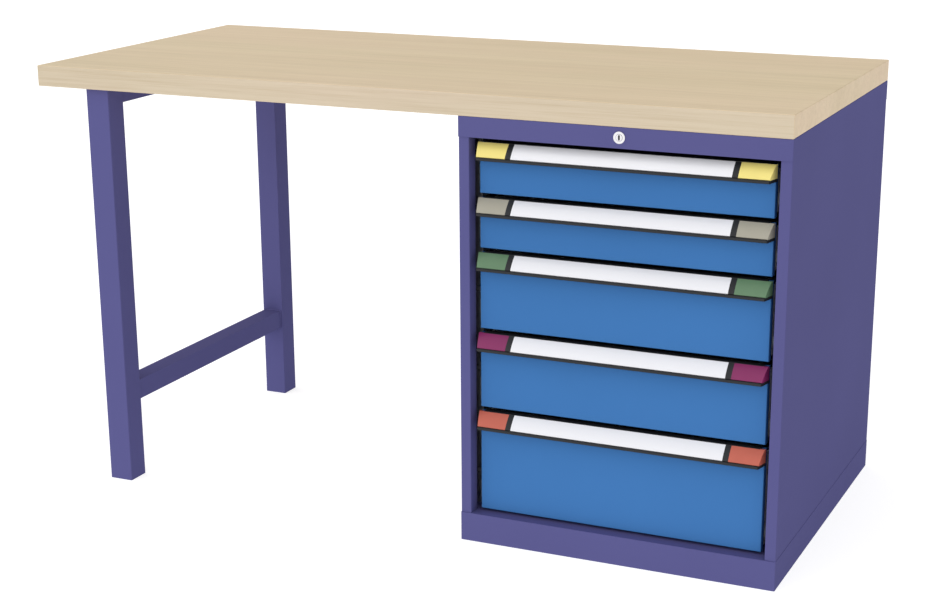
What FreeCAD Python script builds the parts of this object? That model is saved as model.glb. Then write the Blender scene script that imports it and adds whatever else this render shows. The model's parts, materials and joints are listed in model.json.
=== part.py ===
"""Workbench with a five-drawer cabinet under its right end and a leg frame under its left end.

Millimetres. Origin at the middle of the footprint, on the floor. +X to the right along the board,
+Y from the drawer fronts to the back, +Z up. All sizes come from the spreadsheet "Dim".
"""
import FreeCAD
import Part
import Sketcher
import math
import os

SIZES = {
    # worktop
    "board_long": 1500, "board_deep": 700, "board_thick": 40, "bench_high": 840, "board_edge": 1.5,
    # how far the grips stand out in front of the board
    "grip_reach": 6,
    # cabinet body, a steel sheet case
    "body_wide": 602.5, "body_side_gap": 0.5, "body_front_gap": 2.5, "body_back_gap": 2.5, "sheet": 1.5,
    "post_wide": 20, "post_return": 27, "back_flange": 20, "bend": 1.5, "back_sheet": 1.2,
    # header and plinth stand a little proud of the body between them
    "cap_proud": 0.5, "cap_front_proud": 1.7, "header_high": 37, "plinth_high": 55,
    # drawer stack, from the top drawer down
    "stack_top": 760, "rise_1": 100, "rise_2": 100, "rise_3": 150, "rise_4": 150, "rise_5": 200,
    "front_wide": 538, "front_inset": 22, "front_fold": 14, "front_gap_low": 0.7, "front_gap_top": 8.5,
    # trays
    "tray_sheet": 1.2, "tray_deep": 612, "tray_gap_low": 8, "tray_gap_top": 18,
    # telescopic slides
    "slide_long": 600, "slide_start": 46, "slide_level": 30, "slide_gap": 0.5, "slide_thick": 12.3,
    "slide_sheet": 1.2, "rail_half": 18, "rail_lip": 10, "middle_half": 13.8, "middle_inset": 2.4,
    "middle_lip": 11, "inner_half": 9.6, "inner_lip": 4.8, "ball": 2.4, "ball_pitch": 24,
    "cage_sheet": 0.8, "cage_wide": 4.5, "cage_long": 120,
    # uprights that carry the rails
    "upright_wide": 30, "upright_inset": 15,
    # grip profile, from the drawer front forward and from the bay's top down
    "face_root": 4.3, "face_top": 6.9, "face_out": 24.5, "face_low": 30, "face_curve": 85, "skin": 1.5,
    "skin_drop": 2.2, "skin_lean": 1.1, "ledge_low": 31, "ledge_out": 26.5, "lip_out": 28,
    "lip_top": 32.4, "lip_low": 35.4, "lip_root": 36.4, "lip_back": 24, "lip_back_low": 34.9,
    "wall_low": 32.4, "wall_out": 21.9, "wall_top": 14, "foot_thick": 2.5, "foot_low": 40,
    # the grip's flange over the top edge of the drawer front
    "flange_top": 6.4, "flange_low": 8.2, "flange_deep": 12,
    # grip ends, caps and dividers along the grip
    "grip_wide": 542.5, "end_taper": 6.7, "end_block": 10, "cap_wide": 60.5, "divider_wide": 10.6,
    # lock in the header and the bar it moves
    "lock_high": 782, "bezel_dia": 21, "bezel_thick": 1.8, "housing_dia": 18, "housing_long": 23,
    "core_dia": 12, "core_play": 0.05, "core_proud": 0.5, "core_long": 30.5, "key_wide": 2.4,
    "key_high": 9, "key_deep": 8, "nut_flat": 24, "nut_thick": 4, "cam_wide": 10, "cam_thick": 3,
    "cam_tip": 4, "lock_stroke": 10, "lock_gap": 1, "pin_swing": 2.2, "pin_dia": 5, "pin_play": 0.3,
    "link_thick": 2, "link_high": 12,
    "bar_thick": 3, "bar_wide": 12, "bar_side_gap": 1.5, "bar_low": 70, "bar_head_wide": 23,
    "bar_head_high": 30, "hook_level": 66, "hook_high": 8, "hook_long": 15, "catch_gap": 4,
    # leg frame
    "leg_left": 100, "leg_wide": 50, "leg_wall": 2, "leg_bend": 2, "leg_front": 15, "leg_back": 10,
    "low_rail": 40, "low_rail_base": 159, "top_rail_high": 33.5, "plug_high": 20, "plug_gap": 0.3,
    "plug_lift": 0.5,
    # worktop screws
    "screw_dia": 5, "screw_long": 27, "head_dia": 10, "head_high": 3, "screw_play": 0.4,
    "screw_inset": 50,
}
DRAWERS = (1, 2, 3, 4, 5)
# distance under which two coordinates count as the same
NEAR = 0.01

# lines and planes that several pieces share, as expressions on the sheet
BOARD_FRONT = "(-(Dim.board_deep - Dim.grip_reach) / 2)"
BOARD_BACK = f"({BOARD_FRONT} + Dim.board_deep)"
BOARD_LEFT = "(-Dim.board_long / 2)"
BOARD_LOW = "(Dim.bench_high - Dim.board_thick)"
BODY_RIGHT = "(Dim.board_long / 2 - Dim.body_side_gap)"
BODY_LEFT = f"({BODY_RIGHT} - Dim.body_wide)"
BODY_MID = f"({BODY_RIGHT} - Dim.body_wide / 2)"
BODY_FRONT = f"({BOARD_FRONT} + Dim.body_front_gap)"
BODY_BACK = f"({BOARD_BACK} - Dim.body_back_gap)"
CAP_LEFT = f"({BODY_LEFT} - Dim.cap_proud)"
CAP_RIGHT = f"({BODY_RIGHT} + Dim.cap_proud)"
CAP_FRONT = f"({BODY_FRONT} - Dim.cap_front_proud)"
CAP_BACK = f"({BODY_BACK} + Dim.cap_front_proud)"
HEADER_LOW = f"({BOARD_LOW} - Dim.header_high)"
PLATE_LOW = f"({BOARD_LOW} - Dim.sheet)"
FACE = f"({BOARD_FRONT} + Dim.front_inset)"
FRONT_LEFT = f"({BODY_MID} - Dim.front_wide / 2)"
FRONT_RIGHT = f"({BODY_MID} + Dim.front_wide / 2)"
TRAY_FRONT = f"({FACE} + Dim.front_fold)"
GRIP_LEFT = f"({BODY_MID} - Dim.grip_wide / 2)"
GRIP_RIGHT = f"({BODY_MID} + Dim.grip_wide / 2)"
RAIL_X = f"({BODY_LEFT} + Dim.post_wide + Dim.slide_gap)"
TRAY_LEFT = f"({RAIL_X} + Dim.slide_thick)"
TRAY_RIGHT = f"(2 * {BODY_MID} - {TRAY_LEFT})"
RAIL_FRONT = f"({BOARD_FRONT} + Dim.slide_start)"
RAIL_BACK = f"({RAIL_FRONT} + Dim.slide_long)"
RACE_OUT = "((Dim.middle_half + Dim.rail_half - Dim.slide_sheet) / 2)"
RACE_IN = "((Dim.inner_half + Dim.middle_half - Dim.slide_sheet) / 2)"
LOCK_BACK = f"({CAP_FRONT} - Dim.bezel_thick - Dim.core_proud + Dim.core_long)"
CAM_BACK = f"({LOCK_BACK} + Dim.cam_thick)"
LINK_FRONT = f"({CAM_BACK} + Dim.lock_gap)"
LINK_BACK = f"({LINK_FRONT} + Dim.link_thick)"
BAR_FRONT = f"({LINK_BACK} + Dim.lock_gap)"
BAR_BACK = f"({BAR_FRONT} + Dim.bar_thick)"
BAR_LEFT = f"({BODY_LEFT} + Dim.sheet + Dim.bar_side_gap)"
PIN_LEVEL = "(Dim.lock_high - Dim.lock_stroke)"
BAR_PIN_X = f"({BAR_LEFT} + Dim.bar_wide / 2)"
LEG_LEFT = f"({BOARD_LEFT} + Dim.leg_left)"
LEG_MID = f"({LEG_LEFT} + Dim.leg_wide / 2)"
FRONT_LEG_Y = f"({BOARD_FRONT} + Dim.leg_front)"
REAR_LEG_Y = f"({BOARD_BACK} - Dim.leg_back - Dim.leg_wide)"
LEG_GAP = f"({REAR_LEG_Y} - {FRONT_LEG_Y} - Dim.leg_wide)"

doc = FreeCAD.newDocument("workbench")
parts = {}


def fill_sheet():
    """Sheet of driving sizes, one row each with its alias."""
    sheet = doc.addObject("Spreadsheet::Sheet", "Dim")
    for row, (alias, size) in enumerate(SIZES.items(), start=1):
        sheet.set(f"A{row}", alias)
        sheet.set(f"B{row}", str(size))
        sheet.setAlias(f"B{row}", alias)
    doc.recompute()
    return sheet


sheet = fill_sheet()
reader = doc.addObject("App::FeaturePython", "Reader")


def number(expression):
    """The number that an expression on the sheet gives."""
    return float(reader.evalExpression(str(expression)))


def top_of(drawer):
    """Top of a drawer's bay."""
    above = "".join(f" - Dim.rise_{upper}" for upper in DRAWERS if upper < drawer)
    return f"(Dim.stack_top{above})"


def base_of(drawer):
    """Bottom of a drawer's bay."""
    return f"({top_of(drawer)} - Dim.rise_{drawer})"


def keep(node, shape_object):
    """Make an object the sub-part of that name."""
    shape_object.Label = node
    parts[node] = shape_object
    return shape_object


def place(shape_object, spot):
    """Bind an object's position to three expressions."""
    for axis, expression in zip("xyz", spot):
        shape_object.setExpression(f"Placement.Base.{axis}", str(expression))
    return shape_object


def box(x_span, y_span, z_span):
    """Block between two expressions on each axis."""
    block = doc.addObject("Part::Box", "Block")
    spans = (x_span, y_span, z_span)
    for side, (low, high) in zip(("Length", "Width", "Height"), spans):
        block.setExpression(side, f"({high}) - ({low})")
    return place(block, [low for low, high in spans])


def rod(diameter, length, spot, along="Z"):
    """Cylinder from a spot along +X, +Y or +Z."""
    turns = {
        "X": FreeCAD.Rotation(FreeCAD.Vector(0, 1, 0), 90),
        "Y": FreeCAD.Rotation(FreeCAD.Vector(1, 0, 0), -90),
        "Z": FreeCAD.Rotation(),
    }
    cylinder = doc.addObject("Part::Cylinder", "Rod")
    cylinder.setExpression("Radius", f"({diameter}) / 2")
    cylinder.setExpression("Height", str(length))
    cylinder.Placement = FreeCAD.Placement(FreeCAD.Vector(), turns[along])
    return place(cylinder, spot)


def cut(base, tool):
    """Base less tool."""
    result = doc.addObject("Part::Cut", "Cut")
    result.Base = base
    result.Tool = tool
    return result


def fuse(pieces):
    """Pieces joined into one solid."""
    result = doc.addObject("Part::MultiFuse", "Joined")
    result.Shapes = pieces
    return result


def group(pieces):
    """Alike pieces kept as separate solids of one sub-part."""
    result = doc.addObject("Part::Compound", "Group")
    result.Links = pieces
    return result


def rounded(block, wanted):
    """Block with a sheet's bend along the edges that the test accepts."""
    doc.recompute()
    bend = number("Dim.bend")
    result = doc.addObject("Part::Fillet", "Rounded")
    result.Base = block
    edges = enumerate(block.Shape.Edges, start=1)
    result.Edges = [(index, bend, bend) for index, edge in edges if wanted(edge)]
    return result


def edge_test(axis, level):
    """Test for an edge that lies in the plane where an axis has the given value."""
    spot = number(level)

    def is_there(edge):
        return all(abs(getattr(vertex.Point, axis) - spot) < NEAR for vertex in edge.Vertexes)

    return is_there


def mirrored(source):
    """Twin of a piece on the other side of the cabinet's middle plane."""
    twin = doc.addObject("Part::Mirroring", "Twin")
    twin.Source = source
    twin.Normal = FreeCAD.Vector(1, 0, 0)
    twin.setExpression("Base.x", BODY_MID)
    return twin


def arc_between(start, end, radius):
    """Arc from start to end that bulges to the left of the way from start to end."""
    chord = end - start
    half = chord.Length / 2
    side = FreeCAD.Vector(chord.y, -chord.x, 0).normalize()
    centre = (start + end) / 2 + side * math.sqrt(radius * radius - half * half)
    first = math.atan2(end.y - centre.y, end.x - centre.x)
    last = math.atan2(start.y - centre.y, start.x - centre.x)
    circle = Part.Circle(centre, FreeCAD.Vector(0, 0, 1), radius)
    return Part.ArcOfCircle(circle, first, last)


def sketch_outline(sketch, corners):
    """Closed outline. A corner is (x, y), or (x, y, radius) where an arc leads to the next corner."""
    ends = []
    spots = [FreeCAD.Vector(number(corner[0]), number(corner[1]), 0) for corner in corners]
    for index, corner in enumerate(corners):
        start = spots[index]
        end = spots[(index + 1) % len(spots)]
        if len(corner) == 2:
            edge = sketch.addGeometry(Part.LineSegment(start, end), False)
            ends.append((edge, 1, 2))
            continue
        if number(corner[2]) > 0:
            edge = sketch.addGeometry(arc_between(start, end, number(corner[2])), False)
            ends.append((edge, 2, 1))
        else:
            edge = sketch.addGeometry(arc_between(end, start, -number(corner[2])), False)
            ends.append((edge, 1, 2))
        radius = sketch.addConstraint(Sketcher.Constraint("Radius", edge, abs(number(corner[2]))))
        sketch.setExpression(f"Constraints[{radius}]", f"abs({corner[2]})")
    for index, (edge, start_point, end_point) in enumerate(ends):
        following = ends[(index + 1) % len(ends)]
        sketch.addConstraint(Sketcher.Constraint("Coincident", edge, end_point, following[0], following[1]))
        for kind, expression, size in (
            ("DistanceX", corners[index][0], spots[index].x),
            ("DistanceY", corners[index][1], spots[index].y),
        ):
            rule = Sketcher.Constraint(kind, -1, 1, edge, start_point, size)
            made = sketch.addConstraint(rule)
            sketch.setExpression(f"Constraints[{made}]", str(expression))


def new_sketch(body, plane, offset, outlines):
    """Sketch of closed outlines on one of the body's own origin planes, moved along its normal."""
    sketch = body.newObject("Sketcher::SketchObject", "Outline")
    origin_plane = [item for item in body.Origin.OriginFeatures if item.Role == plane][0]
    sketch.AttachmentSupport = [(origin_plane, "")]
    sketch.MapMode = "FlatFace"
    sketch.setExpression("AttachmentOffset.Base.z", str(offset))
    for corners in outlines:
        sketch_outline(sketch, corners)
    return sketch


def add_pad(body, plane, offset, length, outlines):
    """Pad along the plane's normal."""
    pad = body.newObject("PartDesign::Pad", "Pad")
    pad.Profile = new_sketch(body, plane, offset, outlines)
    pad.setExpression("Length", str(length))
    body.Tip = pad
    doc.recompute()
    return pad


def add_pocket(body, plane, offset, length, outlines):
    """Pocket against the plane's normal."""
    before = body.Shape.Volume
    pocket = body.newObject("PartDesign::Pocket", "Pocket")
    pocket.Profile = new_sketch(body, plane, offset, outlines)
    pocket.setExpression("Length", str(length))
    body.Tip = pocket
    doc.recompute()
    if body.Shape.Volume >= before:
        raise RuntimeError(f"{body.Label}: the pocket cuts nothing")
    return pocket


def add_fillet(body, radius, wanted):
    """Round the edges of the body that the test accepts."""
    tip = body.Tip
    names = [f"Edge{index}" for index, edge in enumerate(tip.Shape.Edges, start=1) if wanted(edge)]
    fillet = body.newObject("PartDesign::Fillet", "Fillet")
    fillet.Base = (tip, names)
    fillet.setExpression("Radius", str(radius))
    body.Tip = fillet
    doc.recompute()
    return fillet


def new_body():
    """Empty body."""
    return doc.addObject("PartDesign::Body", "Body")


def rectangle(x_low, x_high, y_low, y_high):
    """Corners of a rectangle."""
    return [(x_low, y_low), (x_high, y_low), (x_high, y_high), (x_low, y_high)]


def is_upright(edge):
    """True for an edge that runs along Z."""
    start, end = edge.Vertexes[0].Point, edge.Vertexes[-1].Point
    return abs(start.x - end.x) < NEAR and abs(start.y - end.y) < NEAR


def make_worktop():
    """Thick board with softened edges."""
    body = new_body()
    outline = rectangle(BOARD_LEFT, f"(-{BOARD_LEFT})", BOARD_FRONT, BOARD_BACK)
    add_pad(body, "XY_Plane", BOARD_LOW, "Dim.board_thick", [outline])
    add_fillet(body, "Dim.board_edge", lambda edge: True)
    keep("worktop", body)


def make_sides():
    """Side sheet folded into a front post and a rear flange, and its mirrored twin."""
    body = new_body()
    inner = f"({BODY_LEFT} + Dim.sheet)"
    post = f"({BODY_LEFT} + Dim.post_wide)"
    flange = f"({BODY_LEFT} + Dim.back_flange)"
    outline = [
        (BODY_LEFT, BODY_FRONT),
        (post, BODY_FRONT),
        (post, f"{BODY_FRONT} + Dim.post_return"),
        (f"{post} - Dim.sheet", f"{BODY_FRONT} + Dim.post_return"),
        (f"{post} - Dim.sheet", f"{BODY_FRONT} + Dim.sheet"),
        (inner, f"{BODY_FRONT} + Dim.sheet"),
        (inner, f"{BODY_BACK} - Dim.sheet"),
        (flange, f"{BODY_BACK} - Dim.sheet"),
        (flange, BODY_BACK),
        (BODY_LEFT, BODY_BACK),
    ]
    add_pad(body, "XY_Plane", "Dim.plinth_high", f"{HEADER_LOW} - Dim.plinth_high", [outline])
    outer = (number(BODY_LEFT), number(post))
    front = number(BODY_FRONT)

    def is_bend(edge):
        point = edge.Vertexes[0].Point
        at_front = abs(point.y - front) < NEAR
        return is_upright(edge) and at_front and min(abs(point.x - x) for x in outer) < NEAR

    add_fillet(body, "Dim.bend", is_bend)
    keep("cabinet_left_side", body)
    keep("cabinet_right_side", mirrored(body))


def make_case():
    """Back panel, floor sheet, plinth ring and header cap with its lock and screw holes."""
    inner_left = f"({BODY_LEFT} + Dim.sheet + Dim.slide_gap)"
    inner_right = f"({BODY_RIGHT} - Dim.sheet - Dim.slide_gap)"
    panel_back = f"({BODY_BACK} - Dim.sheet)"
    panel = box(
        (inner_left, inner_right),
        (f"{panel_back} - Dim.back_sheet", panel_back),
        ("Dim.plinth_high", HEADER_LOW),
    )
    keep("cabinet_back_panel", panel)

    ring_x = (f"{CAP_LEFT} + Dim.sheet", f"{CAP_RIGHT} - Dim.sheet")
    ring_y = (f"{CAP_FRONT} + Dim.sheet", f"{CAP_BACK} - Dim.sheet")
    floor = box(ring_x, ring_y, ("Dim.plinth_high - Dim.sheet", "Dim.plinth_high"))
    keep("cabinet_floor", floor)

    outside = box((CAP_LEFT, CAP_RIGHT), (CAP_FRONT, CAP_BACK), ("0", "Dim.plinth_high"))
    inside = box(ring_x, ring_y, ("-1", "Dim.plinth_high + 1"))
    keep("cabinet_plinth", cut(rounded(outside, is_upright), inside))

    outside = box((CAP_LEFT, CAP_RIGHT), (CAP_FRONT, CAP_BACK), (HEADER_LOW, BOARD_LOW))
    inside = box(ring_x, ring_y, (f"{HEADER_LOW} - 1", PLATE_LOW))
    holes = [screw_hole(x, y) for x, y in header_screws()]
    lock_hole = rod(
        "Dim.housing_dia + Dim.screw_play",
        "4 * Dim.sheet",
        (BODY_MID, f"{CAP_FRONT} - 2 * Dim.sheet", "Dim.lock_high"),
        "Y",
    )
    at_top = edge_test("z", BOARD_LOW)
    shell = rounded(outside, lambda edge: is_upright(edge) or at_top(edge))
    keep("cabinet_header", cut(shell, fuse([inside, lock_hole] + holes)))


def header_screws():
    """Spots of the screws through the header, as (x, y)."""
    near = f"({CAP_FRONT} + Dim.screw_inset)"
    far = f"({CAP_BACK} - Dim.screw_inset)"
    left = f"({CAP_LEFT} + Dim.screw_inset)"
    right = f"({CAP_RIGHT} - Dim.screw_inset)"
    return [(left, near), (right, near), (left, far), (right, far)]


def rail_screws():
    """Spots of the screws through the leg frame's upper rail, as (x, y)."""
    near = f"({FRONT_LEG_Y} + Dim.leg_wide + Dim.screw_inset)"
    far = f"({REAR_LEG_Y} - Dim.screw_inset)"
    return [(LEG_MID, near), (LEG_MID, far)]


def screw_hole(x, y):
    """Tool for a clearance hole in the sheet under the board."""
    return rod("Dim.screw_dia + Dim.screw_play", "4 * Dim.sheet", (x, y, f"{BOARD_LOW} - 2 * Dim.sheet"))


def make_screws():
    """Screws that hold the header and the leg frame to the board, one sub-part."""
    screws = []
    for x, y in header_screws() + rail_screws():
        shank = rod("Dim.screw_dia", "Dim.screw_long", (x, y, PLATE_LOW))
        head = rod("Dim.head_dia", "Dim.head_high", (x, y, f"{PLATE_LOW} - Dim.head_high"))
        screws.append(fuse([shank, head]))
    keep("worktop_screws", group(screws))


def make_uprights():
    """Four channels inside the sides that carry the slide rails, one sub-part."""
    wall = f"({BODY_LEFT} + Dim.sheet)"
    starts = (
        f"({RAIL_FRONT} + Dim.upright_inset)",
        f"({RAIL_BACK} - Dim.upright_inset - Dim.upright_wide)",
    )
    uprights = []
    for start in starts:
        end = f"({start} + Dim.upright_wide)"
        body = new_body()
        outline = [
            (wall, start),
            (RAIL_X, start),
            (RAIL_X, end),
            (wall, end),
            (wall, f"{end} - Dim.sheet"),
            (f"{RAIL_X} - Dim.sheet", f"{end} - Dim.sheet"),
            (f"{RAIL_X} - Dim.sheet", f"{start} + Dim.sheet"),
            (wall, f"{start} + Dim.sheet"),
        ]
        add_pad(body, "XY_Plane", "Dim.plinth_high", f"{PLATE_LOW} - Dim.plinth_high", [outline])
        uprights += [body, mirrored(body)]
    keep("slide_uprights", group(uprights))


def channel(web, lip, half):
    """Slide member: a web with two lips, along Y, at the height of the body's origin."""
    low, high = sorted((web, lip), key=number)
    inner = f"({web} + Dim.slide_sheet)" if web == low else f"({web} - Dim.slide_sheet)"
    body = new_body()
    outline = [
        (web, f"-{half}"),
        (lip, f"-{half}"),
        (lip, f"-{half} + Dim.slide_sheet"),
        (inner, f"-{half} + Dim.slide_sheet"),
        (inner, f"{half} - Dim.slide_sheet"),
        (lip, f"{half} - Dim.slide_sheet"),
        (lip, half),
        (web, half),
    ]
    add_pad(body, "XZ_Plane", f"-{RAIL_BACK}", "Dim.slide_long", [outline])
    return body


def slide_level(drawer):
    """Height of the middle of a drawer's slides."""
    return f"({base_of(drawer)} + Dim.slide_level)"


def pair_at(drawer, member):
    """A slide member and its twin at a drawer's slide height."""
    place(member, ("0", "0", slide_level(drawer)))
    return [member, mirrored(member)]


def ball_cage(x, z, height):
    """Thin strip with a row of balls in it, as a shape."""
    length = number("Dim.cage_long")
    wide = number("Dim.cage_wide")
    sheet_thick = number("Dim.cage_sheet")
    start = number(RAIL_FRONT) + number("Dim.upright_inset")
    corner = FreeCAD.Vector(x - wide / 2, start, height + z - sheet_thick / 2)
    strip = Part.makeBox(wide, length, sheet_thick, corner)
    balls = []
    pitch = number("Dim.ball_pitch")
    for index in range(int(length // pitch)):
        middle = FreeCAD.Vector(x, start + pitch * (index + 0.5), height + z)
        balls.append(Part.makeSphere(number("Dim.ball") / 2, middle))
    return strip.fuse(balls)


def make_slides():
    """Fixed rails, middle members with their ball cages, and drawer members."""
    rails = []
    for drawer in DRAWERS:
        rails += pair_at(drawer, channel(RAIL_X, f"({RAIL_X} + Dim.rail_lip)", "Dim.rail_half"))
        web = f"({RAIL_X} + Dim.middle_inset)"
        middle = channel(web, f"({RAIL_X} + Dim.middle_lip)", "Dim.middle_half")
        keep(f"slide_{drawer}_middle_members", group(pair_at(drawer, middle)))
        inner = channel(TRAY_LEFT, f"({RAIL_X} + Dim.inner_lip)", "Dim.inner_half")
        keep(f"drawer_{drawer}_slide_members", group(pair_at(drawer, inner) + [make_catch(drawer)]))
        make_cages(drawer)
    keep("cabinet_slide_rails", group(rails))


def make_cages(drawer):
    """Eight ball cages of one drawer: above and below, in both races, on both sides."""
    height = number(slide_level(drawer))
    cage_x = number(RAIL_X) + (number("Dim.inner_lip") + number("Dim.rail_lip")) / 2
    twin_x = 2 * number(BODY_MID) - cage_x
    races = (number(RACE_OUT), -number(RACE_OUT), number(RACE_IN), -number(RACE_IN))
    cages = [ball_cage(x, race, height) for x in (cage_x, twin_x) for race in races]
    feature = doc.addObject("Part::Feature", "Cages")
    feature.Shape = Part.makeCompound(cages)
    feature.Placement = FreeCAD.Placement()
    keep(f"slide_{drawer}_ball_cages", feature)


def make_front(drawer):
    """Flat front folded back all round."""
    low = f"({base_of(drawer)} + Dim.front_gap_low)"
    high = f"({top_of(drawer)} - Dim.front_gap_top)"
    fold_end = f"({FACE} + Dim.front_fold)"
    outside = box((FRONT_LEFT, FRONT_RIGHT), (FACE, fold_end), (low, high))
    inside = box(
        (f"{FRONT_LEFT} + Dim.sheet", f"{FRONT_RIGHT} - Dim.sheet"),
        (f"{FACE} + Dim.sheet", f"{fold_end} + 1"),
        (f"{low} + Dim.sheet", f"{high} - Dim.sheet"),
    )
    keep(f"drawer_{drawer}_front", cut(rounded(outside, edge_test("y", FACE)), inside))


def make_tray(drawer):
    """Open steel tray: a folded bottom with two sides, and a front and a back wall between them."""
    low = f"({base_of(drawer)} + Dim.tray_gap_low)"
    high = f"({top_of(drawer)} - Dim.tray_gap_top)"
    back = f"({TRAY_FRONT} + Dim.tray_deep)"
    inner_left = f"({TRAY_LEFT} + Dim.tray_sheet)"
    inner_right = f"({TRAY_RIGHT} - Dim.tray_sheet)"
    inner_low = f"({low} + Dim.tray_sheet)"
    outside = box((TRAY_LEFT, TRAY_RIGHT), (TRAY_FRONT, back), (low, high))
    inside = box((inner_left, inner_right), (f"{TRAY_FRONT} - 1", f"{back} + 1"), (inner_low, f"{high} + 1"))
    walls = [
        box((inner_left, inner_right), (start, f"{start} + Dim.tray_sheet"), (inner_low, high))
        for start in (TRAY_FRONT, f"({back} - Dim.tray_sheet)")
    ]
    keep(f"drawer_{drawer}_tray", group([cut(outside, inside)] + walls))


def make_catch(drawer):
    """Angle on the tray's left side that the locking bar's hook blocks."""
    start = f"({BAR_BACK} + Dim.catch_gap)"
    low = f"({base_of(drawer)} + Dim.hook_level - Dim.lock_stroke)"
    height = (low, f"{low} + Dim.hook_high")
    stop = box((f"{RAIL_X} + Dim.bar_thick", TRAY_LEFT), (start, f"{start} + Dim.bar_thick"), height)
    foot = box((f"{TRAY_LEFT} - Dim.bar_thick", TRAY_LEFT), (start, f"{start} + Dim.hook_long"), height)
    return fuse([stop, foot])


def face_point(out, low):
    """Point of the grip's section: out in front of the drawer front, low under the bay's top."""
    return (f"{FACE} - ({out})", f"-({low})")


def skin_outline():
    """Section of what lies on the grip's sloping face."""
    return [
        face_point("Dim.face_root", "Dim.face_top") + ("-Dim.face_curve",),
        face_point("Dim.face_out", "Dim.face_low"),
        face_point("Dim.face_out - Dim.skin_lean", "Dim.ledge_low") + ("(Dim.face_curve - Dim.skin)",),
        face_point("Dim.face_root", "(Dim.face_top + Dim.skin_drop)"),
    ]


def end_trim():
    """Two wedges that taper the grip's ends in plan."""
    tip = f"{FACE} - Dim.lip_out - 1"
    taper = "Dim.end_taper * (Dim.lip_out + 1) / Dim.lip_out"
    return [
        [(f"{GRIP_LEFT} - 1", FACE), (f"{GRIP_LEFT} - 1", tip), (f"{GRIP_LEFT} + {taper}", tip),
         (GRIP_LEFT, FACE)],
        [(f"{GRIP_RIGHT} + 1", FACE), (GRIP_RIGHT, FACE), (f"{GRIP_RIGHT} - {taper}", tip),
         (f"{GRIP_RIGHT} + 1", tip)],
    ]


def lip_points():
    """Rounded nose of the lip, from above it to below it."""
    return [
        face_point("Dim.ledge_out", "Dim.ledge_low"),
        face_point("Dim.lip_out", "Dim.lip_top"),
        face_point("Dim.lip_out", "Dim.lip_low"),
        face_point("Dim.ledge_out", "Dim.lip_root"),
    ]


def grip_outline():
    """Section of the grip: a sloping wall with a lip, a foot on the drawer front and a flange over it."""
    return [
        face_point("Dim.face_root", "(Dim.face_top + Dim.skin_drop)") + ("-(Dim.face_curve - Dim.skin)",),
        face_point("Dim.face_out - Dim.skin_lean", "Dim.ledge_low"),
        *lip_points(),
        face_point("Dim.lip_back", "Dim.lip_back_low"),
        face_point("Dim.wall_out", "Dim.wall_low"),
        face_point("Dim.foot_thick", "Dim.wall_top"),
        face_point("Dim.foot_thick", "Dim.foot_low"),
        face_point("0", "Dim.foot_low"),
        face_point("0", "Dim.flange_low"),
        face_point("-Dim.flange_deep", "Dim.flange_low"),
        face_point("-Dim.flange_deep", "Dim.flange_top"),
        face_point("Dim.face_root", "Dim.flange_top"),
    ]


def lip_outline():
    """Section of the lip where it turns back to the drawer front at each end."""
    return [face_point("0", "Dim.ledge_low"), *lip_points(), face_point("0", "Dim.lip_root")]


def grip_body():
    """Grip along the whole front, with the lip round its ends and two dividers on its face."""
    body = new_body()
    main_left = f"({GRIP_LEFT} + Dim.end_block)"
    main_long = "(Dim.grip_wide - 2 * Dim.end_block)"
    main_right = f"({GRIP_RIGHT} - Dim.end_block)"
    add_pad(body, "YZ_Plane", main_left, main_long, [grip_outline()])
    add_pad(body, "YZ_Plane", GRIP_LEFT, "Dim.end_block", [lip_outline()])
    add_pad(body, "YZ_Plane", main_right, "Dim.end_block", [lip_outline()])
    left_divider = f"({GRIP_LEFT} + Dim.cap_wide)"
    right_divider = f"({GRIP_RIGHT} - Dim.cap_wide - Dim.divider_wide)"
    add_pad(body, "YZ_Plane", left_divider, "Dim.divider_wide", [skin_outline()])
    add_pad(body, "YZ_Plane", right_divider, "Dim.divider_wide", [skin_outline()])
    add_pocket(body, "XY_Plane", "0", "Dim.foot_low + 1", end_trim())
    return body


def cap_body():
    """Coloured cap: a skin on the grip's face and a block that closes the grip's end."""
    body = new_body()
    add_pad(body, "YZ_Plane", GRIP_LEFT, "Dim.cap_wide", [skin_outline()])
    block = [
        face_point("0", "Dim.face_top"),
        face_point("Dim.face_root", "Dim.face_top") + ("-Dim.face_curve",),
        face_point("Dim.face_out", "Dim.face_low"),
        face_point("Dim.face_out - Dim.skin_lean", "Dim.ledge_low"),
        face_point("0", "Dim.ledge_low"),
    ]
    add_pad(body, "YZ_Plane", GRIP_LEFT, "Dim.end_block", [block])
    add_pocket(body, "XY_Plane", "0", "Dim.foot_low + 1", end_trim()[:1])
    return body


def make_grip(drawer):
    """Grip, end caps and label strip of one drawer, at the top of its front."""
    height = ("0", "0", top_of(drawer))
    keep(f"drawer_{drawer}_grip", place(grip_body(), height))
    cap = place(cap_body(), height)
    keep(f"drawer_{drawer}_end_caps", group([cap, mirrored(cap)]))
    label = new_body()
    start = f"({GRIP_LEFT} + Dim.cap_wide + Dim.divider_wide)"
    length = "(Dim.grip_wide - 2 * Dim.cap_wide - 2 * Dim.divider_wide)"
    add_pad(label, "YZ_Plane", start, length, [skin_outline()])
    keep(f"drawer_{drawer}_label", place(label, height))


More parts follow.
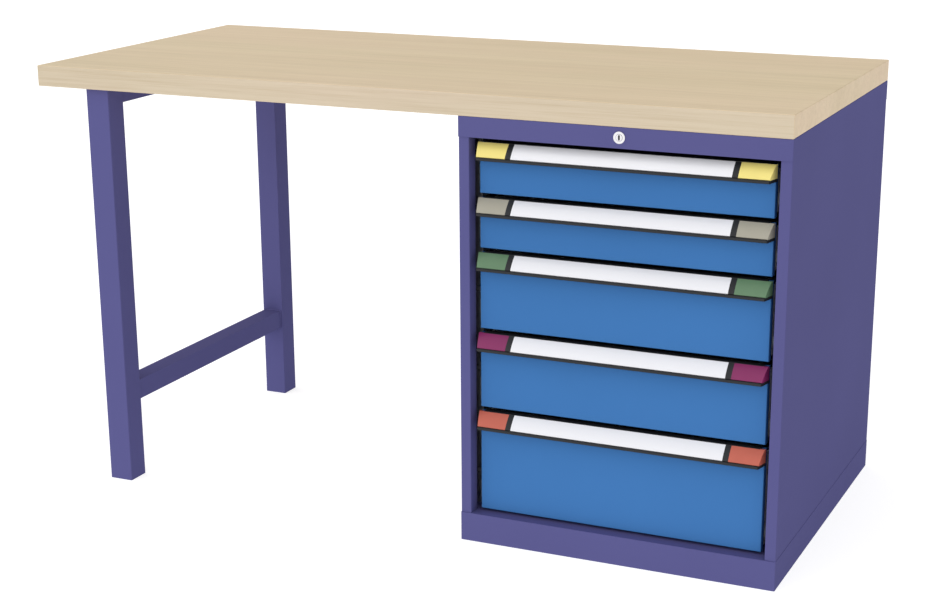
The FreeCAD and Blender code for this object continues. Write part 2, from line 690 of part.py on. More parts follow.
def make_lock():
    """Lock housing with its bezel and nut, cylinder with a key slot, and cam with its pin."""
    bezel_front = f"({CAP_FRONT} - Dim.bezel_thick)"
    bezel = rod("Dim.bezel_dia", "Dim.bezel_thick", (BODY_MID, bezel_front, "Dim.lock_high"), "Y")
    barrel = rod("Dim.housing_dia", "Dim.housing_long", (BODY_MID, bezel_front, "Dim.lock_high"), "Y")
    bore = rod(
        "Dim.core_dia + 2 * Dim.core_play",
        "Dim.housing_long + 2",
        (BODY_MID, f"{bezel_front} - 1", "Dim.lock_high"),
        "Y",
    )
    housing = cut(fuse([bezel, barrel]), bore)

    nut = doc.addObject("Part::Prism", "Nut")
    nut.Polygon = 6
    nut.setExpression("Circumradius", "Dim.nut_flat / sqrt(3)")
    nut.setExpression("Height", "Dim.nut_thick")
    nut.Placement = FreeCAD.Placement(FreeCAD.Vector(), FreeCAD.Rotation(FreeCAD.Vector(1, 0, 0), -90))
    nut_front = f"({CAP_FRONT} + Dim.sheet)"
    place(nut, (BODY_MID, nut_front, "Dim.lock_high"))
    nut_bore = rod(
        "Dim.housing_dia", "2 * Dim.nut_thick", (BODY_MID, f"{nut_front} - 1", "Dim.lock_high"), "Y"
    )
    keep("lock_housing", group([housing, cut(nut, nut_bore)]))

    core_front = f"({bezel_front} - Dim.core_proud)"
    core = rod("Dim.core_dia", "Dim.core_long", (BODY_MID, core_front, "Dim.lock_high"), "Y")
    key_slot = box(
        (f"{BODY_MID} - Dim.key_wide / 2", f"{BODY_MID} + Dim.key_wide / 2"),
        (f"{core_front} - 1", f"{core_front} + Dim.key_deep"),
        ("Dim.lock_high - Dim.key_high / 2", "Dim.lock_high + Dim.key_high / 2"),
    )
    keep("lock_cylinder", cut(core, key_slot))

    plate = box(
        (f"{BODY_MID} - Dim.cam_wide / 2", f"{BODY_MID} + Dim.cam_wide / 2"),
        (LOCK_BACK, CAM_BACK),
        (f"{PIN_LEVEL} - Dim.cam_tip", "Dim.lock_high + Dim.core_dia / 2"),
    )
    pin_long = f"({LINK_BACK} + Dim.lock_gap / 2 - {CAM_BACK})"
    pin = rod("Dim.pin_dia", pin_long, (BODY_MID, CAM_BACK, PIN_LEVEL), "Y")
    keep("lock_cam", fuse([plate, pin]))


def make_link():
    """Flat link in the header, from the cam's pin to the locking bar."""
    room = "(Dim.pin_dia / 2 + Dim.pin_play)"
    strip = box(
        (f"{BAR_PIN_X} - Dim.link_high / 2", f"{BODY_MID} + Dim.link_high"),
        (LINK_FRONT, LINK_BACK),
        (f"{PIN_LEVEL} - Dim.link_high / 2", f"{PIN_LEVEL} + Dim.link_high / 2"),
    )
    eye = box(
        (f"{BODY_MID} - Dim.link_high", f"{BODY_MID} + Dim.link_high"),
        (LINK_FRONT, LINK_BACK),
        (f"{PIN_LEVEL} - Dim.link_high / 2", f"{PIN_LEVEL} + Dim.lock_stroke + Dim.link_high / 2"),
    )
    slot = box(
        (f"{BODY_MID} - {room}", f"{BODY_MID} + Dim.pin_swing + {room}"),
        (f"{LINK_FRONT} - 1", f"{LINK_BACK} + 1"),
        (f"{PIN_LEVEL} - {room}", f"{PIN_LEVEL} + Dim.lock_stroke + {room}"),
    )
    pin = rod("Dim.pin_dia", "Dim.bar_thick + 1.5 * Dim.lock_gap", (BAR_PIN_X, LINK_BACK, PIN_LEVEL), "Y")
    keep("lock_link", fuse([cut(fuse([strip, eye]), slot), pin]))


def make_bar():
    """Upright locking bar with a sloped slot at its head and one hook for each drawer."""
    thickness = (BAR_FRONT, BAR_BACK)
    head_low = f"({PIN_LEVEL} - Dim.bar_wide)"
    head_left = f"({BAR_LEFT} - 1)"
    pieces = [
        box((BAR_LEFT, f"{BAR_LEFT} + Dim.bar_wide"), thickness, ("Dim.bar_low", f"{head_low} + 1")),
        box(
            (head_left, f"{head_left} + Dim.bar_head_wide"),
            thickness,
            (head_low, f"{head_low} + Dim.bar_head_high"),
        ),
    ]
    hook_left = f"({BAR_LEFT} + Dim.bar_wide - 1)"
    for drawer in DRAWERS:
        low = f"({base_of(drawer)} + Dim.hook_level)"
        span = (hook_left, f"{hook_left} + 1 + Dim.hook_long")
        pieces.append(box(span, thickness, (low, f"{low} + Dim.hook_high")))

    width = "(Dim.pin_dia + 2 * Dim.pin_play)"
    start = f"({BAR_FRONT} - 1)"
    shift = f"({width} / 2 * sqrt(0.5))"
    slope = doc.addObject("Part::Box", "Slope")
    slope.setExpression("Length", "Dim.lock_stroke * sqrt(2)")
    slope.setExpression("Width", "Dim.bar_thick + 2")
    slope.setExpression("Height", width)
    slope.Placement = FreeCAD.Placement(FreeCAD.Vector(), FreeCAD.Rotation(FreeCAD.Vector(0, 1, 0), -45))
    place(slope, (f"{BAR_PIN_X} + {shift}", start, f"{PIN_LEVEL} - {shift}"))
    ends = [
        rod(width, "Dim.bar_thick + 2", (BAR_PIN_X, start, PIN_LEVEL), "Y"),
        rod(
            width,
            "Dim.bar_thick + 2",
            (f"{BAR_PIN_X} + Dim.lock_stroke", start, f"{PIN_LEVEL} + Dim.lock_stroke"),
            "Y",
        ),
    ]
    keep("locking_bar", cut(fuse(pieces), fuse([slope] + ends)))


def tube_outlines(x_low, y_low, width, wall):
    """Outer and inner outline of a square tube's section."""
    outer = rectangle(x_low, f"{x_low} + {width}", y_low, f"{y_low} + {width}")
    inner = rectangle(
        f"{x_low} + {wall}", f"{x_low} + {width} - {wall}", f"{y_low} + {wall}", f"{y_low} + {width} - {wall}"
    )
    return [outer, inner]


def make_legs():
    """Two square tube legs and the plugs in their lower ends."""
    plugs = []
    for node, y_low in (("front_leg", FRONT_LEG_Y), ("rear_leg", REAR_LEG_Y)):
        body = new_body()
        outlines = tube_outlines(LEG_LEFT, y_low, "Dim.leg_wide", "Dim.leg_wall")
        add_pad(body, "XY_Plane", "0", BOARD_LOW, outlines)
        corner_x = (number(LEG_LEFT), number(f"{LEG_LEFT} + Dim.leg_wide"))

        def is_outer(edge):
            return is_upright(edge) and min(abs(edge.Vertexes[0].Point.x - x) for x in corner_x) < NEAR

        add_fillet(body, "Dim.leg_bend", is_outer)
        keep(node, body)
        inset = "(Dim.leg_wall + Dim.plug_gap)"
        plugs.append(
            box(
                (f"{LEG_LEFT} + {inset}", f"{LEG_LEFT} + Dim.leg_wide - {inset}"),
                (f"{y_low} + {inset}", f"{y_low} + Dim.leg_wide - {inset}"),
                ("Dim.plug_lift", "Dim.plug_high"),
            )
        )
    keep("leg_plugs", group(plugs))


def make_rails():
    """Lower rail of square tube and upper rail of folded sheet, between the legs."""
    left = f"({LEG_MID} - Dim.low_rail / 2)"
    right = f"({LEG_MID} + Dim.low_rail / 2)"
    body = new_body()
    outlines = tube_outlines(left, "Dim.low_rail_base", "Dim.low_rail", "Dim.leg_wall")
    add_pad(body, "XZ_Plane", f"-{REAR_LEG_Y}", LEG_GAP, outlines)
    keep("lower_rail", body)

    body = new_body()
    low = f"({BOARD_LOW} - Dim.top_rail_high)"
    outline = [
        (left, low),
        (f"{left} + Dim.sheet", low),
        (f"{left} + Dim.sheet", PLATE_LOW),
        (f"{right} - Dim.sheet", PLATE_LOW),
        (f"{right} - Dim.sheet", low),
        (right, low),
        (right, BOARD_LOW),
        (left, BOARD_LOW),
    ]
    add_pad(body, "XZ_Plane", f"-{REAR_LEG_Y}", LEG_GAP, [outline])
    holes = [screw_hole(x, y) for x, y in rail_screws()]
    keep("upper_rail", cut(body, fuse(holes)))


def build():
    """Every sub-part of the bench."""
    make_worktop()
    make_sides()
    make_case()
    make_uprights()
    make_slides()
    for drawer in DRAWERS:
        make_front(drawer)
        make_tray(drawer)
        make_grip(drawer)
    make_lock()
    make_link()
    make_bar()
    make_legs()
    make_rails()
    make_screws()
    doc.recompute()


def export():
    """Write each sub-part after every object and shape has been checked."""
    for item in doc.Objects:
        if "Invalid" in item.State or "Error" in item.State:
            raise RuntimeError(f"{item.Name} ({item.Label}) failed: {item.State}")
    for node, item in parts.items():
        if item.Shape.isNull() or not item.Shape.isValid() or item.Shape.Volume <= 0:
            raise RuntimeError(f"{node} has no valid shape")
    os.makedirs("parts", exist_ok=True)
    for node, item in parts.items():
        item.Shape.exportStep(f"parts/{node}.step")
        print(f"{node}: {len(item.Shape.Solids)} solids, {item.Shape.Volume / 1000:.1f} cm3")


build()
export()
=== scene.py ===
"""Workbench with drawers: looks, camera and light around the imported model. Metres, Z up, front -Y."""
import bpy
import json
import math
from mathutils import Matrix, Vector


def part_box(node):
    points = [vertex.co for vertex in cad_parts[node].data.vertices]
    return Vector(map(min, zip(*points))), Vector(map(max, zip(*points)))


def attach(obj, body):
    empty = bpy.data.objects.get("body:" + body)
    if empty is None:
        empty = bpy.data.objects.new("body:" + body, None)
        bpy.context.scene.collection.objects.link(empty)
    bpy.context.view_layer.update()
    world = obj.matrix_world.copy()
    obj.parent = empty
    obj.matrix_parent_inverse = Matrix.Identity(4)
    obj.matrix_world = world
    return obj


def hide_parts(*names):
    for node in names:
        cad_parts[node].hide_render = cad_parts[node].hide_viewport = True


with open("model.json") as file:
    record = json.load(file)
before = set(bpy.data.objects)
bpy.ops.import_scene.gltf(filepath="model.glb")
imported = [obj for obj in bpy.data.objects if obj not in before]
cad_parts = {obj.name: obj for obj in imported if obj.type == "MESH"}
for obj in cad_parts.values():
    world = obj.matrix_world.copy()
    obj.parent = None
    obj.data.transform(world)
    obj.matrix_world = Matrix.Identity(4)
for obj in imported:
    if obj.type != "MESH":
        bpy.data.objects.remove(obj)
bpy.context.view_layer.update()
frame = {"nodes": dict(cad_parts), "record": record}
MM = 0.001
DRAWERS = (1, 2, 3, 4, 5)

# ---------------------------------------------------------------- colours


def linear(red, green, blue):
    """Scene colour of an 8-bit display colour."""
    channels = []
    for value in (red, green, blue):
        value = value / 255
        channels.append(value / 12.92 if value <= 0.04045 else ((value + 0.055) / 1.055) ** 2.4)
    return (*channels, 1.0)


VIOLET = linear(83, 82, 129)
BLUE = linear(60, 109, 166)
TRAY_GREY = linear(186, 188, 190)
GRIP_BLACK = linear(30, 31, 34)
LABEL_WHITE = linear(222, 222, 226)
CAPS = {
    "cap_yellow": linear(227, 211, 124),
    "cap_grey": linear(157, 153, 139),
    "cap_green": linear(91, 122, 92),
    "cap_plum": linear(123, 34, 86),
    "cap_coral": linear(182, 92, 75),
}
WOOD_LIGHT = linear(219, 200, 167)
WOOD_MID = linear(209, 190, 155)
WOOD_DARK = linear(196, 175, 139)
WOOD_PINK = linear(221, 197, 167)
# painted shade: factors that darken the wood of the board's front face and of its ends, fitted so that in
# this light the front looks only a little lighter than the top; on the ends the darkening is partly darker
# end grain
FRONT_FACE_PAINTED_SHADE = (0.775, 0.81, 0.905, 1)
# partly darker end grain, partly painted shade fitted to this light
END_GRAIN_AND_PAINTED_SHADE = (0.93, 0.91, 0.925, 1)

# ---------------------------------------------------------------- sizes of the details

SHEET = 1.2 * MM
RIM_RADIUS = 1.6 * MM
RIM_POINTS = 12
SLOT_WIDE = 2.4 * MM
SLOT_PITCH = 25.0 * MM
SLOT_MARGIN = 14.0 * MM
# a tray at least this tall has two rows of slots
TWO_SLOT_ROWS_FROM = 100 * MM
WELD_RADIUS = 2.2 * MM
WELD_POINTS = 8
WELD_RIPPLE = 4.0 * MM
STEPS_PER_RIPPLE = 4
RIPPLE_DEPTH = 0.12
LOCK_CORE_RADIUS = 6.0 * MM
# width of the painted shade along the joint round the lock cylinder
JOINT_SHADE_WIDE = 0.8 * MM
# width and height of the keyway and of the insert round it
KEYWAY = (1.6 * MM, 7.6 * MM)
INSERT = (3.2 * MM, 9.6 * MM)
# the keyway's notched outline in shares of its width and height
KEYWAY_OUTLINE = [
    (0.25, 0.02), (0.5, 0.08), (0.5, 0.5), (0.0, 0.5), (-0.5, 0.5), (-0.5, 0.2), (-0.2, 0.14),
    (-0.2, -0.05), (-0.5, -0.1), (-0.5, -0.5), (0.0, -0.5), (0.5, -0.5), (0.5, -0.18), (0.25, -0.12),
]
# 1 would make the insert an ellipse and 0 a rectangle
INSERT_ROUNDNESS = 0.35
INSERT_PROUD = 0.1 * MM
# depth of the insert, whose back closes the keyway with a black shutter of painted shade
INSERT_DEEP = 1.2 * MM
# depth of the skin of painted shade on the board's front face and ends
SKIN_DEPTH = 0.35 * MM
BOARD_ROUNDING = 1.2 * MM
BEZEL_ROUNDING = 0.35 * MM
CYLINDER_ROUNDING = 0.3 * MM


def middle(box):
    """Middle of a box given by its two corners."""
    return (Vector(box[0]) + Vector(box[1])) / 2


# ---------------------------------------------------------------- materials


class Recipe:
    """A material under construction: its nodes, and the object-space position that feeds them."""

    def __init__(self, name):
        self.material = bpy.data.materials.new(name)
        self.material.use_nodes = True
        self.nodes = self.material.node_tree.nodes
        self.links = self.material.node_tree.links
        self.shader = self.nodes["Principled BSDF"]
        self.place = self.nodes.new("ShaderNodeTexCoord").outputs["Object"]

    def set(self, **values):
        """Plain numbers on the shader's own sockets."""
        for socket, value in values.items():
            self.shader.inputs[socket.replace("_", " ")].default_value = value
        return self

    def stretched(self, scale):
        """The position scaled by its own factor on each axis."""
        mapping = self.nodes.new("ShaderNodeMapping")
        mapping.inputs["Scale"].default_value = scale
        self.links.new(self.place, mapping.inputs["Vector"])
        return mapping.outputs["Vector"]

    def noise(self, scale, stretch=(1, 1, 1), detail=2.0, roughness=0.5, distortion=0.0):
        """Noise value at the position."""
        noise = self.nodes.new("ShaderNodeTexNoise")
        noise.inputs["Scale"].default_value = scale
        noise.inputs["Detail"].default_value = detail
        noise.inputs["Roughness"].default_value = roughness
        noise.inputs["Distortion"].default_value = distortion
        self.links.new(self.stretched(stretch), noise.inputs["Vector"])
        return noise.outputs["Fac"]

    def ramp(self, value, stops):
        """Colour ramp over a value; stops are (position, colour)."""
        ramp = self.nodes.new("ShaderNodeValToRGB")
        elements = ramp.color_ramp.elements
        while len(elements) < len(stops):
            elements.new(0.5)
        for element, (position, colour) in zip(elements, stops):
            element.position = position
            element.color = colour
        self.links.new(value, ramp.inputs["Fac"])
        return ramp.outputs["Color"]

    def mixed(self, first, second, factor, blend="MIX"):
        """Two colours mixed by a factor, each an output, a colour or a number."""
        mix = self.nodes.new("ShaderNodeMix")
        mix.data_type = "RGBA"
        mix.blend_type = blend
        sockets = (mix.inputs[0], mix.inputs[6], mix.inputs[7])
        for socket, source in zip(sockets, (factor, first, second)):
            if isinstance(source, bpy.types.NodeSocket):
                self.links.new(source, socket)
            else:
                socket.default_value = source
        return mix.outputs[2]

    def maths(self, operation, first, second=0.0):
        """Math node; each side is an output or a number."""
        node = self.nodes.new("ShaderNodeMath")
        node.operation = operation
        for socket, source in zip(node.inputs, (first, second)):
            if isinstance(source, bpy.types.NodeSocket):
                self.links.new(source, socket)
            else:
                socket.default_value = source
        return node.outputs["Value"]

    def vector(self, operation, source, operand=None):
        """Vector math node on an output, with a fixed vector where the operation takes two."""
        node = self.nodes.new("ShaderNodeVectorMath")
        node.operation = operation
        self.links.new(source, node.inputs[0])
        if operand is not None:
            node.inputs[1].default_value = operand
        return node.outputs["Value" if operation == "LENGTH" else "Vector"]

    def colour(self, output):
        """Feed the base colour."""
        self.links.new(output, self.shader.inputs["Base Color"])

    def roughness(self, value, low, high):
        """Roughness that follows a value between two limits."""
        spread = self.nodes.new("ShaderNodeMapRange")
        spread.inputs["To Min"].default_value = low
        spread.inputs["To Max"].default_value = high
        self.links.new(value, spread.inputs["Value"])
        self.links.new(spread.outputs["Result"], self.shader.inputs["Roughness"])

    def bump(self, height, depth, strength):
        """Bump of the surface; depth in metres."""
        bump = self.nodes.new("ShaderNodeBump")
        bump.inputs["Strength"].default_value = strength
        bump.inputs["Distance"].default_value = depth
        self.links.new(height, bump.inputs["Height"])
        self.links.new(bump.outputs["Normal"], self.shader.inputs["Normal"])


PEEL_DEPTH = 0.03 * MM
GRAIN_DEPTH = 0.02 * MM
FIBRE_DEPTH = 0.05 * MM
UNCHANGED = (1, 1, 1, 1)


def tinted(colour, factor):
    """A colour made lighter or darker."""
    return (*(min(1.0, channel * factor) for channel in colour[:3]), 1.0)


def paint(name, colour, roughness=0.55):
    """Powder coat: an even colour with faint drift and fine orange peel."""
    recipe = Recipe(name)
    drift = recipe.noise(3.0, detail=3.0)
    recipe.colour(recipe.ramp(drift, [(0.3, tinted(colour, 0.975)), (0.7, tinted(colour, 1.025))]))
    peel = recipe.noise(900.0, detail=1.0)
    recipe.roughness(peel, roughness - 0.04, roughness + 0.04)
    recipe.bump(peel, PEEL_DEPTH, 0.6)
    return recipe.set(Specular_IOR_Level=0.0, Coat_Weight=0.04, Coat_Roughness=0.3).material


def plastic(name, colour, roughness=0.35):
    """Moulded plastic with a fine eroded texture."""
    recipe = Recipe(name)
    drift = recipe.noise(25.0, detail=2.0)
    recipe.colour(recipe.ramp(drift, [(0.3, tinted(colour, 0.97)), (0.7, tinted(colour, 1.03))]))
    grain = recipe.noise(2200.0, detail=1.0)
    recipe.roughness(grain, roughness - 0.03, roughness + 0.05)
    recipe.bump(grain, GRAIN_DEPTH, 0.5)
    return recipe.set(Specular_IOR_Level=0.3).material


def painted_shade_skin(recipe, body):
    """The board's colour darkened as painted shade in the skin of its front face and both its ends."""
    spot = recipe.nodes.new("ShaderNodeSeparateXYZ")
    recipe.links.new(recipe.place, spot.inputs["Vector"])
    low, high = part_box("worktop")
    behind = recipe.maths("SUBTRACT", spot.outputs["Y"], low[1])
    aside = recipe.maths("SUBTRACT", spot.outputs["X"], (low[0] + high[0]) / 2)
    from_end = recipe.maths("SUBTRACT", (high[0] - low[0]) / 2, recipe.maths("ABSOLUTE", aside))
    for distance, tint in ((behind, FRONT_FACE_PAINTED_SHADE), (from_end, END_GRAIN_AND_PAINTED_SHADE)):
        # a share of 0.5 is the skin's depth
        share = recipe.maths("DIVIDE", distance, 2 * SKIN_DEPTH)
        skin = recipe.ramp(share, [(0.4, tint), (0.6, UNCHANGED)])
        body = recipe.mixed(body, skin, 1.0, "MULTIPLY")
    return body


def wood():
    """Pale close-grained worktop, its grain along X, its front face and ends darkened as painted shade."""
    recipe = Recipe("worktop")
    broad = recipe.noise(1.0, (0.6, 9.0, 9.0), detail=4.0, roughness=0.55, distortion=0.5)
    blush = recipe.noise(1.0, (0.9, 5.0, 5.0), detail=3.0)
    streak = recipe.noise(1.0, (1.1, 48.0, 48.0), detail=4.0, roughness=0.6, distortion=0.3)
    fine = recipe.noise(1.0, (2.4, 150.0, 150.0), detail=5.0, roughness=0.6, distortion=0.2)
    fibre = recipe.noise(1.0, (9.0, 800.0, 800.0), detail=2.0)
    base = recipe.ramp(broad, [(0.35, WOOD_MID), (0.65, WOOD_LIGHT)])
    blushed = recipe.ramp(blush, [(0.4, (0, 0, 0, 1)), (0.65, (0.7, 0.7, 0.7, 1))])
    base = recipe.mixed(base, WOOD_PINK, blushed)
    bands = recipe.ramp(streak, [(0.36, (0.945, 0.935, 0.92, 1)), (0.62, (1.02, 1.02, 1.02, 1))])
    base = recipe.mixed(base, bands, 1.0, "MULTIPLY")
    veins = recipe.ramp(fine, [(0.32, WOOD_DARK), (0.54, WOOD_LIGHT)])
    colour = recipe.mixed(base, veins, 0.35)
    flecks = recipe.ramp(fibre, [(0.34, (0.9, 0.875, 0.83, 1)), (0.5, UNCHANGED)])
    body = recipe.mixed(colour, flecks, 0.55, "MULTIPLY")
    recipe.colour(painted_shade_skin(recipe, body))
    recipe.roughness(fine, 0.42, 0.56)
    recipe.bump(fibre, FIBRE_DEPTH, 0.3)
    return recipe.set(Specular_IOR_Level=0.25).material


def steel(name, shade, roughness=0.38):
    """Rolled, zinc plated steel."""
    recipe = Recipe(name)
    grain = recipe.noise(1.0, (900.0, 25.0, 900.0), detail=3.0)
    low, high = tinted(shade, 0.9), tinted(shade, 1.08)
    recipe.colour(recipe.ramp(grain, [(0.3, low), (0.7, high)]))
    recipe.roughness(grain, roughness - 0.06, roughness + 0.08)
    return recipe.set(Metallic=1.0).material


def chrome():
    """Plated lock parts with turning marks, and painted shade in the joint round the cylinder."""
    recipe = Recipe("lock_chrome")
    marks = recipe.noise(1.0, (2500.0, 200.0, 2500.0), detail=2.0)
    plated = recipe.ramp(marks, [(0.2, linear(206, 205, 208)), (0.8, linear(224, 223, 226))])
    away = recipe.vector("SUBTRACT", recipe.place, middle(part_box("lock_cylinder")))
    flat = recipe.vector("MULTIPLY", away, (1.0, 0.0, 1.0))
    from_joint = recipe.maths("SUBTRACT", recipe.vector("LENGTH", flat), LOCK_CORE_RADIUS)
    share = recipe.maths("DIVIDE", recipe.maths("ABSOLUTE", from_joint), JOINT_SHADE_WIDE)
    # painted shade: the chrome darkened in a narrow band along the joint round the cylinder
    joint_shade = recipe.ramp(share, [(0.0, linear(186, 185, 186)), (1.0, UNCHANGED)])
    recipe.colour(recipe.mixed(plated, joint_shade, 1.0, "MULTIPLY"))
    recipe.roughness(marks, 0.16, 0.24)
    return recipe.set(Metallic=1.0).material


def label_paper():
    """Smooth white label under its clear cover."""
    recipe = Recipe("label_white")
    fibre = recipe.noise(400.0, detail=3.0)
    recipe.colour(recipe.ramp(fibre, [(0.3, tinted(LABEL_WHITE, 0.985)), (0.7, LABEL_WHITE)]))
    recipe.roughness(fibre, 0.22, 0.28)
    return recipe.set(Coat_Weight=0.35, Coat_Roughness=0.08).material


def make_materials():
    """One material for each of the record's slots, and a darker one for the locking bar as painted shade."""
    made = {
        "worktop": wood(),
        "frame_violet": paint("frame_violet", VIOLET),
        "front_blue": paint("front_blue", BLUE),
        "tray_grey": paint("tray_grey", TRAY_GREY, 0.5),
        "grip_black": plastic("grip_black", GRIP_BLACK, 0.45),
        "label_white": label_paper(),
        "zinc_steel": steel("zinc_steel", linear(190, 193, 196)),
        "screw_steel": steel("screw_steel", linear(168, 170, 174), 0.3),
        # painted shade: a darker steel for the locking bar
        "bar_painted_shade_steel": steel("bar_painted_shade_steel", linear(74, 75, 78), 0.5),
        "lock_chrome": chrome(),
        "black_plastic": plastic("black_plastic", linear(34, 34, 36), 0.5),
    }
    for name, colour in CAPS.items():
        made[name] = plastic(name, colour, 0.3)
    return made


materials = make_materials()
# painted shade: the locking bar is darker than its slot's zinc, so that its hooks show as shade, not as light
# marks, beside the drawers
PAINTED_SHADE_FINISHES = {"locking_bar": "bar_painted_shade_steel"}


def dress_nodes():
    """Give each CAD node the material of its slot, or its darker material of painted shade."""
    for row in frame["record"]["subparts"]:
        node = frame["nodes"][row["node"]]
        if not node.material_slots:
            node.data.materials.append(None)
        for slot in node.material_slots:
            slot.material = materials[PAINTED_SHADE_FINISHES.get(row["node"], row["material_slot"])]


dress_nodes()

# ---------------------------------------------------------------- pieces


def add_piece(name, vertices, faces, slot, body):
    """A mesh piece with its slot's material, riding on a body."""
    mesh = bpy.data.meshes.new(name)
    mesh.from_pydata(vertices, [], faces)
    mesh.validate()
    piece = bpy.data.objects.new(name, mesh)
    bpy.context.scene.collection.objects.link(piece)
    mesh.materials.append(materials[slot])
    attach(piece, body)
    return piece


def round_off(piece, width):
    """Small rounding along a piece's sharp edges."""
    bevel = piece.modifiers.new("Rounding", "BEVEL")
    bevel.width = width
    bevel.segments = 2
    bevel.limit_method = "ANGLE"
    bevel.angle_limit = math.radians(40)


def spaced_holes(length, wanted_pitch, hole, margin):
    """Cell edges along a wall with evenly spaced holes, and the indices of the cells that are holes."""
    count = max(1, int((length - 2 * margin) // wanted_pitch))
    pitch = (length - 2 * margin) / count
    edges = [0.0]
    holes = []
    for index in range(count):
        start = margin + pitch * (index + 0.5) - hole / 2
        holes.append(len(edges))
        edges += [start, start + hole]
    edges.append(length)
    return edges, holes


def wall(corner, along, up, columns, rows):
    """Grid of cells on a plane, without the cells that are a hole both along and up."""
    (across, hole_columns), (levels, hole_rows) = columns, rows
    vertices = [corner + along * x + up * z for z in levels for x in across]
    faces = []
    width = len(across)
    for row in range(len(levels) - 1):
        for column in range(width - 1):
            if row in hole_rows and column in hole_columns:
                continue
            first = row * width + column
            faces.append((first, first + 1, first + width + 1, first + width))
    return vertices, faces


def rim(low, high):
    """Rolled rim round the top of a box: a round bead, mitred at the corners."""
    corners = [(low.x, low.y, 1, 1), (high.x, low.y, -1, 1), (high.x, high.y, -1, -1), (low.x, high.y, 1, -1)]
    vertices = []
    for x, y, right, back in corners:
        for index in range(RIM_POINTS):
            angle = 2 * math.pi * index / RIM_POINTS
            inward = RIM_RADIUS * (1 + math.cos(angle))
            lift = RIM_RADIUS * math.sin(angle)
            vertices.append(Vector((x + right * inward, y + back * inward, high.z - RIM_RADIUS + lift)))
    faces = []
    for corner in range(4):
        near, far = corner * RIM_POINTS, (corner + 1) % 4 * RIM_POINTS
        for index in range(RIM_POINTS):
            follower = (index + 1) % RIM_POINTS
            faces.append((near + index, near + follower, far + follower, far + index))
    return vertices, faces


def make_tray(drawer):
    """Folded tray: slotted walls for dividers, a plain bottom and a rolled rim."""
    low, high = (Vector(corner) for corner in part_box(f"drawer_{drawer}_tray"))
    size = high - low
    right, back, up = Vector((1, 0, 0)), Vector((0, 1, 0)), Vector((0, 0, 1))
    row_count = 1 if size.z < TWO_SLOT_ROWS_FROM else 2
    row_pitch = (size.z - 2 * SLOT_MARGIN) / row_count
    # the wanted pitch is a little short, so that rounding never drops a row
    rows = spaced_holes(size.z, row_pitch - MM, row_pitch - SLOT_MARGIN / 2, SLOT_MARGIN)
    deep = spaced_holes(size.y, SLOT_PITCH, SLOT_WIDE, SLOT_MARGIN)
    wide = spaced_holes(size.x, SLOT_PITCH, SLOT_WIDE, SLOT_MARGIN)
    plain = ([0.0, size.y], []), ([0.0, size.x], [])
    parts = [
        wall(low, right, up, wide, rows),
        wall(Vector((high.x, high.y, low.z)), -right, up, wide, rows),
        wall(Vector((low.x, high.y, low.z)), -back, up, deep, rows),
        wall(Vector((high.x, low.y, low.z)), back, up, deep, rows),
        wall(low, back, right, *plain),
    ]
    vertices, faces = [], []
    for part_vertices, part_faces in parts:
        faces += [tuple(index + len(vertices) for index in face) for face in part_faces]
        vertices += part_vertices
    tray = add_piece(f"tray_{drawer}", vertices, faces, "tray_grey", f"drawer_{drawer}")
    thickness = tray.modifiers.new("Sheet", "SOLIDIFY")
    thickness.thickness = SHEET
    thickness.offset = -1
    bead = add_piece(f"tray_rim_{drawer}", *rim(low, high), "tray_grey", f"drawer_{drawer}")
    bead.data.shade_smooth()
    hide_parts(f"drawer_{drawer}_tray")


def make_weld(name, centre, half_wide, half_high):
    """Rippled weld bead round the end of a rail that meets a leg's face."""
    corners = [(-1, -1), (1, -1), (1, 1), (-1, 1)]
    path = []
    for index, (x, z) in enumerate(corners):
        next_x, next_z = corners[(index + 1) % 4]
        start = Vector((x * half_wide, 0, z * half_high))
        end = Vector((next_x * half_wide, 0, next_z * half_high))
        count = round((end - start).length / (WELD_RIPPLE / STEPS_PER_RIPPLE))
        path += [start.lerp(end, step / count) for step in range(count)]
    vertices = []
    for step, spot in enumerate(path):
        outward = Vector((spot.x / half_wide, 0, spot.z / half_high)).normalized()
        ripple = abs(math.cos(math.pi * step / STEPS_PER_RIPPLE))
        radius = WELD_RADIUS * (1 - RIPPLE_DEPTH + RIPPLE_DEPTH * ripple)
        for index in range(WELD_POINTS):
            angle = 2 * math.pi * index / WELD_POINTS
            turn = outward * (radius * math.cos(angle)) + Vector((0, radius * math.sin(angle), 0))
            vertices.append(centre + spot + turn)
    faces = []
    for step in range(len(path)):
        near, far = step * WELD_POINTS, (step + 1) % len(path) * WELD_POINTS
        for index in range(WELD_POINTS):
            follower = (index + 1) % WELD_POINTS
            faces.append((near + index, far + index, far + follower, near + follower))
    bead = add_piece(name, vertices, faces, "frame_violet", "bench")
    bead.data.shade_smooth()


def make_welds():
    """Beads where the lower rail meets the two legs."""
    low, high = (Vector(corner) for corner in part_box("lower_rail"))
    half = (high - low) / 2
    centre = middle((low, high))
    for name, y in (("weld_front", low.y), ("weld_rear", high.y)):
        make_weld(name, Vector((centre.x, y, centre.z)), half.x, half.z)


